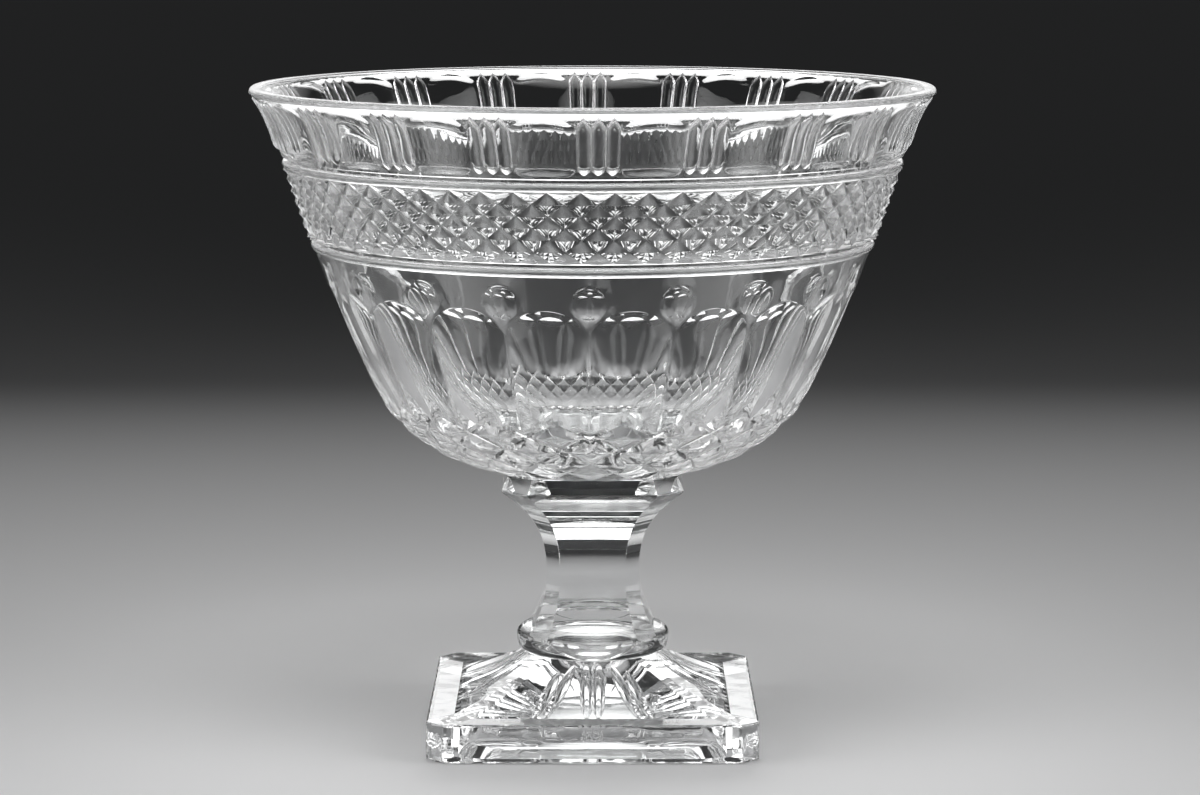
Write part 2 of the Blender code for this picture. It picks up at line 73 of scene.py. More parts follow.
PAD_RADIUS = 30.0 * MM
PAD_RECESS = 1.0 * MM
BASE_RADIUS = 43.0 * MM
SHOULDER_RADIUS = 79.2 * MM
UPPER_RADIUS = 116.6 * MM
FLARE_HEIGHT = 15.5 * MM
QUILT_TOP = 27.0 * MM
FLUTE_TOP = 69.1 * MM
PLAIN_TOP = 81.0 * MM
BEAD_HEIGHT = 2.9 * MM
GROOVE_HEIGHT = 2.0 * MM
DIAMOND_HEIGHT = 24.8 * MM
LIP_HEIGHT = 3.0 * MM
LIP_WALL = 4.6 * MM
LIP_BELLY = 0.62
DIAMOND_BOTTOM = PLAIN_TOP + BEAD_HEIGHT + GROOVE_HEIGHT
DIAMOND_TOP = DIAMOND_BOTTOM + DIAMOND_HEIGHT
RIB_BOTTOM = DIAMOND_TOP + BEAD_HEIGHT + GROOVE_HEIGHT
RIB_TOP = BOWL_HEIGHT - LIP_HEIGHT
RIM_LEVEL = BOWL_HEIGHT - LIP_BELLY * LIP_HEIGHT
print("bowl from", round(BOWL_FOOT, 4), "to", round(bowl_high.z, 4), "m, rim radius", round(RIM_RADIUS, 4))

# %% [markdown]
# ## The wall as one curve
#
# A pressed bowl has one smooth wall that the pattern is cut into. Three Bezier curves give it: the
# round underside, the long side and the flared top. `wall_radius` reads the curve at any level, so
# that every band can lay its relief on the same wall. Reading a curve is simpler than modelling the
# plain bowl first and pushing a pattern into it.

# %% Draw the wall
UNDERSIDE_HANDLES = ((0.37, 0.138), (0.74, 0.429))
SIDE_HANDLES = ((0.40, 0.30), (0.72, 0.69))
FLARE_HANDLES = ((0.21, 0.375), (0.58, 0.795))


def mix(start, end, share):
    return start + (end - start) * share


def bezier(points, count):
    """Radius and level along the curve with these four control points."""
    knots = [Vector((radius, level, 0.0)) for radius, level in points]
    return [(p.x, p.y) for p in interpolate_bezier(*knots, count)]


def wall_curve(start, end, handles, count=160):
    """One curve of the wall, with its handles as shares of its run and rise."""
    pulled = [(mix(start[0], end[0], across), mix(start[1], end[1], up)) for across, up in handles]
    return bezier((start, *pulled, end), count)


base_edge = (BASE_RADIUS, PAD_RECESS)
shoulder = (SHOULDER_RADIUS, QUILT_TOP)
flare_edge = (UPPER_RADIUS, BOWL_HEIGHT - FLARE_HEIGHT)
rim_edge = (RIM_RADIUS, RIM_LEVEL)
wall = wall_curve(base_edge, shoulder, UNDERSIDE_HANDLES)
wall += wall_curve(shoulder, flare_edge, SIDE_HANDLES)[1:]
wall += wall_curve(flare_edge, rim_edge, FLARE_HANDLES)[1:]
wall_radii, wall_levels = np.array(wall).T


def wall_radius(level):
    return float(np.interp(level, wall_levels, wall_radii))


print("wall points:", len(wall))

# %% [markdown]
# ## From half a repeat to the whole ring
#
# The mould repeats twenty times round the bowl, and each repeat is its own mirror image. So only
# half a repeat is modelled, nine degrees of it: a flat grid whose vertices are moved onto the wall.
# `mirror` makes the repeat and `spin` with duplicates makes the ring, which is how a pattern is cut
# into a real mould, one repeat at a time. The lower bands are turned a little against the upper ones.
# Every vertex carries its row number in a layer, so that two rings with different numbers of columns
# can be bridged later.

# %% Helpers for pressed and turned bands
REPEATS = 20
LOWER_TURN, UPPER_TURN = -0.7, 1.07
HALF_REPEAT = 180.0 / REPEATS
MERGE = 1e-6


def row_layer(bm):
    return bm.verts.layers.int.get("row") or bm.verts.layers.int.new("row")


def polar(angle, radius, height):
    """A point from its angle in degrees, its distance from the axis and its height."""
    turn = math.radians(angle)
    return Vector((radius * math.cos(turn), radius * math.sin(turn), height))


def on_wall(angle, radius, level):
    """A point of the bowl, with its level counted from the pad."""
    return polar(angle, radius, BOWL_FOOT + level)


def everything(bm):
    return bm.verts[:] + bm.edges[:] + bm.faces[:]


def spin_copies(bm, count):
    """Copies everything round the axis, so that it stands there count times."""
    bmesh.ops.spin(
        bm, geom=everything(bm), cent=(0, 0, 0), axis=(0, 0, 1), dvec=(0, 0, 0),
        angle=math.tau * (count - 1) / count, steps=count - 1, use_duplicate=True,
    )


def to_mesh(bm, name):
    mesh = bpy.data.meshes.new(name)
    bm.to_mesh(mesh)
    bm.free()
    return mesh


def add_band(bm, band):
    """Closes a band's seams and moves it into the mesh of its piece."""
    bmesh.ops.remove_doubles(band, verts=band.verts, dist=MERGE)
    mesh = to_mesh(band, "band")
    bm.from_mesh(mesh)
    bpy.data.meshes.remove(mesh)


def pressed_band(bm, tag, columns, rows, place, in_valley=None, repeats=REPEATS, turn=0.0):
    """One half repeat as a grid, mirrored and spun into a ring: place(column, row) gives a point.

    Where in_valley(column, row) is true at two corners of a face, an edge joins them. The whole
    ring is then turned by so many degrees.
    """
    band = bmesh.new()
    layer = row_layer(band)
    valley = []
    for vert in bmesh.ops.create_grid(band, x_segments=columns, y_segments=rows, size=0.5)["verts"]:
        column = round((vert.co.x + 0.5) * columns)
        row = round((vert.co.y + 0.5) * rows)
        vert.co = place(column, row)
        vert[layer] = tag + row
        if in_valley and in_valley(column, row):
            valley.append(vert)
    bmesh.ops.connect_verts(band, verts=valley)
    bmesh.ops.mirror(band, geom=everything(band), axis="Y", merge_dist=MERGE)
    spin_copies(band, repeats)
    turned = Matrix.Rotation(math.radians(turn), 3, "Z")
    bmesh.ops.rotate(band, cent=(0, 0, 0), matrix=turned, verts=band.verts)
    add_band(bm, band)


def turned_band(bm, tag, columns, profile):
    """A profile of (radius, level) points spun into a ring."""
    band = bmesh.new()
    layer = row_layer(band)
    chain = []
    for row, (radius, level) in enumerate(profile):
        vert = band.verts.new(on_wall(0.0, radius, level))
        vert[layer] = tag + row
        chain.append(vert)
    edges = [band.edges.new(pair) for pair in zip(chain, chain[1:])]
    bmesh.ops.spin(
        band, geom=chain + edges, cent=(0, 0, 0), axis=(0, 0, 1), dvec=(0, 0, 0),
        angle=math.tau, steps=columns, use_merge=True,
    )
    add_band(bm, band)


def ring(bm, value):
    """The edges that lie along one tagged row."""
    layer = row_layer(bm)
    return [edge for edge in bm.edges if all(vert[layer] == value for vert in edge.verts)]


def fill_ring(bm, value):
    return bmesh.ops.edgeloop_fill(bm, edges=ring(bm, value))["faces"][0]


def open_edges(bm):
    return sum(not edge.is_manifold for edge in bm.edges)


def soft_positive(value, softness):
    """Follows value above zero and fades to zero below it, with a rounded corner between."""
    return 0.5 * (value + math.sqrt(value * value + softness * softness))


def quarter_round(share):
    """Falls from 1 to 0 along a quarter of a circle."""
    return math.sqrt(max(0.0, 1.0 - share * share))


def smooth(share):
    """Eases a share between 0 and 1 at both ends."""
    return share * share * (3.0 - 2.0 * share)


QUILT, FLUTE, LOW_BEAD, DIAMOND, HIGH_BEAD, RIB, INNER, PAD = range(1000, 9000, 1000)
bowl_mesh = bmesh.new()
print("half a repeat is", HALF_REPEAT, "degrees")

# %% [markdown]
# ## Quilted cushions under the bowl
#
# The underside is quilted: plump cushions in staggered rows, parted by V-shaped valleys that cross
# each other on the diagonal. The cushions could be modelled one by one, but their valleys have to
# meet exactly, so the height is worked out instead from the distance to the nearest cushion's
# middle. The grid has as many rows as columns in each cell, and `connect_verts` lays an edge along
# every valley, which keeps the valleys sharp.

# %% Press the cushions
QUILT_STEPS = 5
CELL = 8
QUILT_RELIEF = 2.3 * MM
QUILT_PLUMP = 2.2
QUILT_STRETCH = 0.20
QUILT_FADE = 0.35
FLUTE_DEPTH = 2.8 * MM
FLUTE_SOFT = 0.035
ARCH_HEIGHT = 10.5 * MM
ARCH_SPRING = FLUTE_TOP - ARCH_HEIGHT
ARCH_DEPTH = 1.8 * MM
SHALLOW_START = 46.0 * MM
LAND_HALF = 0.4
FLUTE_HALF = HALF_REPEAT - LAND_HALF


def quilt_share(column, row):
    """0 in the middle of a cushion, 1 along the valleys: the rows stand on flutes and ridges in turn."""
    across = column / CELL
    step = row / CELL
    on_flute = min(abs(step - k) + 1.0 - across for k in range(0, QUILT_STEPS + 1, 2))
    on_ridge = min(abs(step - k) + across for k in range(1, QUILT_STEPS - 1, 2))
    return min(on_flute, on_ridge, 1.0)


def quilt_level(step):
    share = step / QUILT_STEPS
    stretched = (1.0 - QUILT_STRETCH) * share + QUILT_STRETCH * share * share
    return mix(PAD_RECESS, QUILT_TOP, stretched)


def flute_drop(angle, level):
    """How deep the flute is, by the angle from its ridge and by the level; its top is a shallow arch."""
    across = (HALF_REPEAT - angle) / FLUTE_HALF
    rise = max(0.0, (level - ARCH_SPRING) / ARCH_HEIGHT)
    inside = 1.0 - across * across - rise * rise
    climb = min(1.0, max(0.0, (level - SHALLOW_START) / (ARCH_SPRING - SHALLOW_START)))
    return mix(FLUTE_DEPTH, ARCH_DEPTH, smooth(climb)) * soft_positive(inside, FLUTE_SOFT)


def quilt_point(column, row):
    angle = HALF_REPEAT * column / CELL
    step = row / CELL
    level = quilt_level(step)
    drop = QUILT_RELIEF * quilt_share(column, row) ** QUILT_PLUMP
    above = (step - (QUILT_STEPS - 1)) - column / CELL
    if above > 0.0:
        fade = min(1.0, above / QUILT_FADE)
        drop = mix(drop, flute_drop(angle, level), smooth(fade))
    return on_wall(angle, wall_radius(level) - drop, level)


quilt_rows = QUILT_STEPS * CELL
pressed_band(
    bowl_mesh, QUILT, CELL, quilt_rows, quilt_point,
    lambda column, row: quilt_share(column, row) > 0.999, turn=LOWER_TURN,
)
print("cushion rows:", QUILT_STEPS, "faces so far:", len(bowl_mesh.faces))

# %% [markdown]
# ## Flutes and thumbprints
#
# Twenty tall concave flutes rise to round arches, and a round thumbprint sits in each gap between
# two arches. Both have clean outlines, and a plain grid would cut them into stairs. So the grid
# follows the outlines: one of its rows is the arch itself, and a square of its cells is bent into
# the disc of the thumbprint. The faces between those outlines are spread with Coons patches, which
# blend four boundary curves into a surface. Extra rows lie close to the arch, where the edge of the
# real glass is rounded by the fire polish. Each flute gets shallower towards its arch, as one that
# was ground with a round wheel does.

# %% Lay out the flute and thumbprint grid
DOT_RADIUS = 6.5 * MM
DOT_DEPTH = 1.0 * MM
DOT_SOFT = 0.06
DOT_LEVEL = FLUTE_TOP + 2.2 * MM
FLUTE_START = QUILT_TOP + 0.8 * MM
LAND_COLUMNS = 2
FLUTE_COLUMNS = 16
DOT_COLUMNS = 8
FLUTE_SHARES = (0.0, 0.10, 0.21, 0.33, 0.45, 0.57, 0.68, 0.78, 0.86, 0.92, 0.955, 0.98, 0.992, 1.0)
UNDER_DOT = (0.08, 0.25, 0.55, 1.0)
OVER_DOT = (0.35, 0.75, 1.0)
OVER_ARCH = (0.25 * MM, 0.8 * MM, 1.7 * MM, 2.9 * MM)
arch_row = len(FLUTE_SHARES) - 1
dot_first = arch_row + len(UNDER_DOT)
dot_last = dot_first + 2 * DOT_COLUMNS
flute_last = dot_last + len(OVER_DOT)
per_degree = math.radians(1.0) * wall_radius(DOT_LEVEL)
lean = (wall_radius(DOT_LEVEL + DOT_RADIUS) - wall_radius(DOT_LEVEL - DOT_RADIUS)) / (2.0 * DOT_RADIUS)
steep = math.hypot(1.0, lean)


def flute_angle(column):
    """Columns crowd towards the ridge, where the arch is steep."""
    if column <= LAND_COLUMNS:
        return LAND_HALF * column / LAND_COLUMNS
    turn = math.pi / 2 * (column - LAND_COLUMNS) / (FLUTE_COLUMNS - LAND_COLUMNS)
    return HALF_REPEAT - FLUTE_HALF * math.cos(turn)


def arch_point(column):
    angle = flute_angle(column)
    across = (HALF_REPEAT - angle) / FLUTE_HALF
    return Vector((angle * per_degree, ARCH_SPRING + ARCH_HEIGHT * quarter_round(across)))


def top_point(column):
    return Vector((HALF_REPEAT * column / FLUTE_COLUMNS * per_degree, PLAIN_TOP))


def dot_point(column, row):
    """A square of cells bent into half a disc round the middle of the thumbprint."""
    a = column / DOT_COLUMNS
    b = (row - dot_first) / DOT_COLUMNS - 1.0
    across = DOT_RADIUS * a * math.sqrt(1.0 - b * b / 2.0)
    up = DOT_RADIUS * b * math.sqrt(1.0 - a * a / 2.0)
    return Vector((across, DOT_LEVEL + up / steep))


def edge_column(row):
    """The grid line that runs up to the thumbprint, round its side and on to the bead."""
    if row <= dot_first:
        share = (0.0,) + UNDER_DOT
        return arch_point(DOT_COLUMNS).lerp(dot_point(DOT_COLUMNS, dot_first), share[row - arch_row])
    if row <= dot_last:
        return dot_point(DOT_COLUMNS, row)
    return dot_point(DOT_COLUMNS, dot_last).lerp(top_point(DOT_COLUMNS), OVER_DOT[row - dot_last - 1])


def far_column(row):
    """The grid line up the middle of a flute, from its arch to the bead."""
    across = HALF_REPEAT * per_degree
    if row == arch_row:
        return Vector((across, FLUTE_TOP))
    if row <= dot_first:
        return Vector((across, FLUTE_TOP + OVER_ARCH[row - arch_row - 1]))
    share = (row - dot_first) / (flute_last - dot_first)
    start = FLUTE_TOP + OVER_ARCH[-1]
    return Vector((across, mix(start, PLAIN_TOP, share)))


def coons(u, v, low, high, left, right, corners):
    """A point inside four boundary curves, at the shares u across and v up."""
    ruled = low * (1.0 - v) + high * v + left * (1.0 - u) + right * u
    c00, c10, c01, c11 = corners
    return ruled - (c00 * (1 - u) * (1 - v) + c10 * u * (1 - v) + c01 * (1 - u) * v + c11 * u * v)


print("grid for half a flute:", FLUTE_COLUMNS, "columns and", flute_last, "rows")

# %% [markdown]
# With the outlines laid down, the rest is filled in: a vertex below the arch lies on its column, and
# one above it is blended between the thumbprint, the arch and the bead. The last function then
# sinks each place into the wall, by the depth of the flute and of the thumbprint.

# %% Press the flutes and thumbprints
def plain_place(column, row):
    """Arc length and level of a grid vertex between the arch and the bead."""
    if column >= DOT_COLUMNS:
        u = (column - DOT_COLUMNS) / (FLUTE_COLUMNS - DOT_COLUMNS)
        v = (far_column(row).y - FLUTE_TOP) / (PLAIN_TOP - FLUTE_TOP)
        corners = [side(end) for end in (arch_row, flute_last) for side in (edge_column, far_column)]
        low, high = arch_point(column), top_point(column)
        return coons(u, v, low, high, edge_column(row), far_column(row), corners)
    if dot_first <= row <= dot_last:
        return dot_point(column, row)
    if row < dot_first:
        v = UNDER_DOT[row - arch_row - 1]
        bottom, top = arch_point, (lambda k: dot_point(k, dot_first))
    else:
        v = OVER_DOT[row - dot_last - 1]
        bottom, top = (lambda k: dot_point(k, dot_last)), top_point
    corners = (bottom(0), bottom(DOT_COLUMNS), top(0), top(DOT_COLUMNS))
    left = bottom(0).lerp(top(0), v)
    return coons(column / DOT_COLUMNS, v, bottom(column), top(column), left, edge_column(row), corners)


def flute_point(column, row):
    if row <= arch_row:
        angle = flute_angle(column)
        level = mix(FLUTE_START, arch_point(column).y, FLUTE_SHARES[row])
    else:
        place = plain_place(column, row)
        angle, level = place.x / per_degree, place.y
    reach = Vector((angle * per_degree, (level - DOT_LEVEL) * steep)).length / DOT_RADIUS
    drop = flute_drop(angle, level)
    drop += DOT_DEPTH * soft_positive(1.0 - reach * reach, DOT_SOFT)
    return on_wall(angle, wall_radius(level) - drop, level)


pressed_band(bowl_mesh, FLUTE, FLUTE_COLUMNS, flute_last, flute_point, turn=LOWER_TURN)
print("flutes:", REPEATS, "faces so far:", len(bowl_mesh.faces))

# %% [markdown]
# ## Beads and grooves
#
# A rounded bead and a dark groove frame the diamonds on both sides. They are the same all the way
# round, so each is a short profile spun about the axis.

# %% Turn the beads
BEAD_RELIEF = 0.9 * MM
DIAMOND_RELIEF = 2.4 * MM
GROOVE_DEPTH = 0.6 * MM
RING_COLUMNS = 240
BEAD_STEPS = 8
BEAD_ROUND = 0.6
GROOVE_SHAPE = ((0.10, 0.75), (0.25, 1.0), (0.75, 1.0), (0.92, 0.8))
groove = -DIAMOND_RELIEF / 2 - GROOVE_DEPTH


def bead_profile(start):
    """Points of one bead and the groove above it, from its level upwards."""
    points = []
    for step in range(BEAD_STEPS + 1):
        share = step / BEAD_STEPS
        level = start + BEAD_HEIGHT * share
        relief = BEAD_RELIEF * math.sin(math.pi * share) ** BEAD_ROUND
        points.append((wall_radius(level) + relief, level))
    for share, depth in GROOVE_SHAPE:
        level = start + BEAD_HEIGHT + GROOVE_HEIGHT * share
        points.append((wall_radius(level) + groove * depth, level))
    return points


low_bead = bead_profile(PLAIN_TOP)
high_bead = bead_profile(DIAMOND_TOP)
turned_band(bowl_mesh, LOW_BEAD, RING_COLUMNS, low_bead[1:])
high_bead[0] = (wall_radius(DIAMOND_TOP) + groove, DIAMOND_TOP)
turned_band(bowl_mesh, HIGH_BEAD, RING_COLUMNS, high_bead)
print("bead points:", len(low_bead))

# %% [markdown]
# ## The diamond band
#
# Sixty diamonds stand side by side in each row, as if two sets of V-grooves crossed on the slant.
# Each is a four-sided pyramid: its ridges run upright and level, its valleys run on the slant. A
# coarse grid with every second vertex raised gives exactly that, with flat facets that flash as
# cut glass does, once an edge joins the low vertices across each face.

# %% Raise the diamonds
DIAMOND_COLUMNS = 3
DIAMOND_ROWS = 6


def is_low(column, row):
    return (column + row) % 2 == 1


def diamond_point(column, row):
    level = DIAMOND_BOTTOM + DIAMOND_HEIGHT * row / DIAMOND_ROWS
    relief = -DIAMOND_RELIEF / 2 if is_low(column, row) else DIAMOND_RELIEF / 2
    return on_wall(HALF_REPEAT * column / DIAMOND_COLUMNS, wall_radius(level) + relief, level)


pressed_band(bowl_mesh, DIAMOND, DIAMOND_COLUMNS, DIAMOND_ROWS, diamond_point, is_low, turn=UPPER_TURN)
print("diamonds in a row:", REPEATS * DIAMOND_COLUMNS)

# %% [markdown]
# ## Pencil ribs and arched panels
#
# Under the lip, groups of three pencil-shaped ribs stand between wide hollow panels with arched
# tops. As with the flutes, the grid's rows follow the outlines: each column starts at the lower
# outline of its rib or panel and ends at the upper one. A rib swells across its width and fades
# towards its pointed ends, and a panel sinks in the same way. The ribs are round, so that each one
# bends the light of both side boxes into a bright upright streak.

# %% Press the ribs and panels
RIB_HALF = 1.2
RIB_COLUMNS = 5
PANEL_COLUMNS = 6
RIB_RELIEF = 1.7 * MM
PANEL_DEPTH = 1.1 * MM
RIB_TIP_TOP = 137.0 * MM
RIB_SHOULDER = 133.6 * MM
RIB_TIP_BOTTOM = 116.9 * MM
RIB_HIP = 118.9 * MM
PANEL_BOTTOM = 116.5 * MM
RIB_ENDS = (2.4 * MM, 2.2 * MM)
PANEL_ENDS = (3.2 * MM, 3.0 * MM)
RIB_MARGIN = 0.3 * MM
RIB_POINT, PANEL_POINT, PANEL_HOLLOW = 1.6, 6, 2.5
rib_columns = 3 * RIB_COLUMNS + PANEL_COLUMNS
group_edge = 3.0 * RIB_HALF
panel_half = HALF_REPEAT - group_edge
BELOW_SHARES = (0.0, 0.5)
BODY_SHARES = (
    0.0, 0.02, 0.05, 0.09, 0.14, 0.21, 0.30, 0.42, 0.54, 0.66, 0.75, 0.82, 0.88, 0.925, 0.96, 0.985, 1.0,
)
ABOVE_SHARES = (0.4, 1.0)
body_first = len(BELOW_SHARES)
body_last = body_first + len(BODY_SHARES) - 1
rib_last = body_last + len(ABOVE_SHARES) + 1


def rib_angle(column):
    """Columns crowd towards the valleys between the ribs."""
    if column <= RIB_COLUMNS:
        return RIB_HALF * math.sin(math.pi / 2 * column / RIB_COLUMNS)
    if column <= 3 * RIB_COLUMNS:
        return 2.0 * RIB_HALF - RIB_HALF * math.cos(math.pi * (column - RIB_COLUMNS) / (2 * RIB_COLUMNS))
    return HALF_REPEAT - panel_half * math.cos(math.pi / 2 * (column - 3 * RIB_COLUMNS) / PANEL_COLUMNS)


def rib_outline(angle):
    """Lower and upper level of the rib or panel at an angle, and the place across it from -1 to 1."""
    if angle <= group_edge + 1e-6:
        middle = 0.0 if angle < RIB_HALF else 2.0 * RIB_HALF
        across = min(1.0, abs(angle - middle) / RIB_HALF)
        low = mix(RIB_TIP_BOTTOM, RIB_HIP, across ** RIB_POINT)
        return low, mix(RIB_TIP_TOP, RIB_SHOULDER, across), across, True
    across = (HALF_REPEAT - angle) / panel_half
    low = mix(PANEL_BOTTOM, RIB_HIP, across ** PANEL_POINT)
    return low, mix(RIB_TIP_TOP, RIB_SHOULDER, across * across), across, False


def eased(length, reach):
    share = min(1.0, max(0.0, length / reach))
    return 1.0 - (1.0 - share) ** 2


def rib_relief(angle, level):
    low, high, across, is_rib = rib_outline(angle)
    upper, lower = RIB_ENDS if is_rib else PANEL_ENDS
    ends = eased(high - level, upper) * eased(level - low, lower)
    if is_rib:
        return RIB_RELIEF * quarter_round(across) * ends
    return -PANEL_DEPTH * (1.0 - across ** PANEL_HOLLOW) * ends


def rib_point(column, row):
    angle = rib_angle(column)
    low, high = rib_outline(angle)[:2]
    if row < body_first:
        level = mix(RIB_BOTTOM, low, BELOW_SHARES[row])
    elif row <= body_last:
        level = mix(low, high, BODY_SHARES[row - body_first])
    elif row < rib_last:
        level = mix(high, RIB_TOP + RIB_MARGIN, ABOVE_SHARES[row - body_last - 1])
    else:
        level = RIM_LEVEL
    relief = rib_relief(angle, level) if body_first < row < body_last else 0.0
    return on_wall(angle, wall_radius(level) + relief, level)


pressed_band(bowl_mesh, RIB, rib_columns, rib_last, rib_point, turn=UPPER_TURN)
print("rib grid:", rib_columns, "columns and", rib_last, "rows for half a repeat")

# %% [markdown]
# ## Lip, inside and base pad
#
# The lip is a roll, the inside of the bowl is smooth down to a small flat floor, and a ground pad
# under the bowl takes the stem. All of it is round, so two more profiles are spun. The inside wall
# keeps its distance from the outside one and then bends into the floor along a Bezier curve whose
# first handle follows the wall, so that no crease shows through the glass.

# %% Turn the lip, the inside and the pad
WALL = 5.4 * MM
FLOOR_HEIGHT = 7.4 * MM
FLOOR_RADIUS = 20.0 * MM
FLOOR_REACH = 35.0 * MM
INNER_CURVE_HEIGHT = 40.0 * MM
INNER_SIDE_REACH = 30.0 * MM
LIP_STEPS, SIDE_STEPS, FLOOR_STEPS = 8, 22, 40
SIDE_CROWDING = 1.15
lip_rise = BOWL_HEIGHT - RIM_LEVEL
lip_drop = 0.45 * LIP_HEIGHT
outer_roll = 0.35 * LIP_WALL
inner_roll = 0.40 * LIP_WALL
lip_turns = [math.pi / 2 * step / LIP_STEPS for step in range(LIP_STEPS)]
inner_profile = []
for turn in lip_turns[1:]:
    radius = RIM_RADIUS - outer_roll * (1.0 - math.cos(turn))
    inner_profile.append((radius, RIM_LEVEL + lip_rise * math.sin(turn)))
for turn in lip_turns:
    radius = RIM_RADIUS - LIP_WALL + inner_roll * (1.0 - math.sin(turn))
    inner_profile.append((radius, BOWL_HEIGHT - lip_drop * (1.0 - math.cos(turn))))
side_top = BOWL_HEIGHT - lip_drop
side_bottom = FLOOR_HEIGHT + INNER_CURVE_HEIGHT
for step in range(SIDE_STEPS + 1):
    share = step / SIDE_STEPS
    level = mix(side_top, side_bottom, share ** SIDE_CROWDING)
    thick = mix(LIP_WALL, WALL, smooth(min(1.0, 2.0 * share)))
    inner_profile.append((min(wall_radius(level), RIM_RADIUS) - thick, level))
join = Vector(inner_profile[-1])
tangent = (Vector(inner_profile[-2]) - join).normalized()
floor_edge = (FLOOR_RADIUS, FLOOR_HEIGHT)
floor_pull = (FLOOR_RADIUS + FLOOR_REACH, FLOOR_HEIGHT)
inner_profile += bezier((join, join - tangent * INNER_SIDE_REACH, floor_pull, floor_edge), FLOOR_STEPS)[1:]
turned_band(bowl_mesh, INNER, RING_COLUMNS, inner_profile)
pad_step = 0.8 * PAD_RECESS
pad_profile = [(PAD_RADIUS, 0.0), (PAD_RADIUS, pad_step), (BASE_RADIUS - QUILT_RELIEF - 0.5 * MM, pad_step)]
turned_band(bowl_mesh, PAD, RING_COLUMNS, pad_profile)
print("inside profile points:", len(inner_profile))

# %% [markdown]
# ## One closed pressing
#
# The bands are bridged ring to ring, the pad and the floor are filled, and the normals are
# recalculated, because a mirrored half starts inside out. The ring round the pad lies a little below
# the first row of the cushions: two rings in one plane and round one centre give the bridge no
# direction to go by, and it can come out folded over. So the cell also prints which way the pad faces.

# %% Join the bands
seams = (
    (PAD + len(pad_profile) - 1, QUILT), (QUILT + quilt_rows, FLUTE), (FLUTE + flute_last, LOW_BEAD),
    (LOW_BEAD + len(low_bead) - 2, DIAMOND), (DIAMOND + DIAMOND_ROWS, HIGH_BEAD),
    (HIGH_BEAD + len(high_bead) - 1, RIB), (RIB + rib_last, INNER),
)
for lower, upper in seams:
    bmesh.ops.bridge_loops(bowl_mesh, edges=ring(bowl_mesh, lower) + ring(bowl_mesh, upper))
pad_face = fill_ring(bowl_mesh, PAD)
fill_ring(bowl_mesh, INNER + len(inner_profile) - 1)
bmesh.ops.recalc_face_normals(bowl_mesh, faces=bowl_mesh.faces)
print("faces:", len(bowl_mesh.faces), "open edges:", open_edges(bowl_mesh))
print("pad faces down:", pad_face.normal.z < 0.0)

# %% [markdown]
# The fire polish leaves a hair of rounding on sharp edges, so the edges of the diamonds get a small
# bevel. Their facets stay flat and everything else is shaded smooth. Flat facets are found by where
# they lie, since the bevel has made new faces among them.

# %% Soften the diamonds and make the bowl
DIAMOND_SOFTNESS = 0.16 * MM
FACET_REACH = 2.5 * MM
layer = row_layer(bowl_mesh)
inside_band = range(DIAMOND, DIAMOND + DIAMOND_ROWS + 1)
end_rows = (DIAMOND, DIAMOND + DIAMOND_ROWS)
diamond_edges = []
for edge in bowl_mesh.edges:
    rows = [vert[layer] for vert in edge.verts]
    if all(row in inside_band for row in rows) and not (rows[0] == rows[1] and rows[0] in end_rows):
        diamond_edges.append(edge)
bmesh.ops.bevel(
    bowl_mesh, geom=diamond_edges, offset=DIAMOND_SOFTNESS, offset_type="OFFSET", segments=1,
    profile=0.5, affect="EDGES", material=-1, clamp_overlap=True,
)
for face in bowl_mesh.faces:
    middle = face.calc_center_median()
    level = middle.z - BOWL_FOOT
    in_band = DIAMOND_BOTTOM < level < DIAMOND_TOP
    face.smooth = not (in_band and middle.xy.length > wall_radius(level) - FACET_REACH)


def add_object(name, data):
    made = bpy.data.objects.new(name, data)
    bpy.context.scene.collection.objects.link(made)
    return made


def make_piece(name, bm, sharp_angle):
    """A new object from a finished mesh; edges bent by more than sharp_angle degrees stay crisp."""
    mesh = to_mesh(bm, name)
    mesh.set_sharp_from_angle(angle=math.radians(sharp_angle))
    return add_object(name, mesh)


bowl_piece = make_piece("pressed_bowl", bowl_mesh, 32.0)
print("bowl faces:", len(bowl_piece.data.polygons))

# %% [markdown]
# ## The square stem
#
# The stem is a square column with clipped corners, waisted in the middle, with a flared plate at
# the top and a round knop at the foot. The knop is turned, and the four flats of the stem cut
# lens-shaped facets into it. The place where flat and knop meet is known at every angle, so it can
# be a row of the grid: an eighth of the stem is laid out from the middle of a flat to a corner, then
# mirrored and spun. A shallow crease runs up the middle of each flat, where the mould halves met.

# %% Lay out the stem
STEM_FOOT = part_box("stem")[0][2]
STEM_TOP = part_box("stem")[1][2]
STEM_TOP_HALF = 33.0 * MM
PLATE_BEVEL = 2.0 * MM
PLATE_EDGE = 5.8 * MM
NECK_HALF = 16.9 * MM
NECK_LEVEL = 30.7 * MM
FACET_SHARE = 0.71
SEAM_RISE = 0.25 * MM
KNOP_HALF = 22.4 * MM
KNOP_HEIGHT = 9.0 * MM
KNOP_LEVEL = 5.5 * MM
KNOP_RADIUS = 28.3 * MM
KNOP_CORNER = 29.0 * MM
KNOP_END = 26.8 * MM
KNOP_FLARE = 0.55
KNOP_PULL, PLATE_PULL = 0.87, 0.80
KNOP_CURVE, PLATE_CURVE = 5.9 * MM, 6.6 * MM
CURVE_DOWN, CURVE_UP = 10.8 * MM, 19.7 * MM
PLATE_SOFT = 0.1 * MM
stem_height = STEM_TOP - STEM_FOOT
stem_profile = bezier((
    (KNOP_HALF, KNOP_HEIGHT), (KNOP_PULL * KNOP_HALF, KNOP_HEIGHT + KNOP_CURVE),
    (NECK_HALF, NECK_LEVEL - CURVE_DOWN), (NECK_HALF, NECK_LEVEL),
), 40)
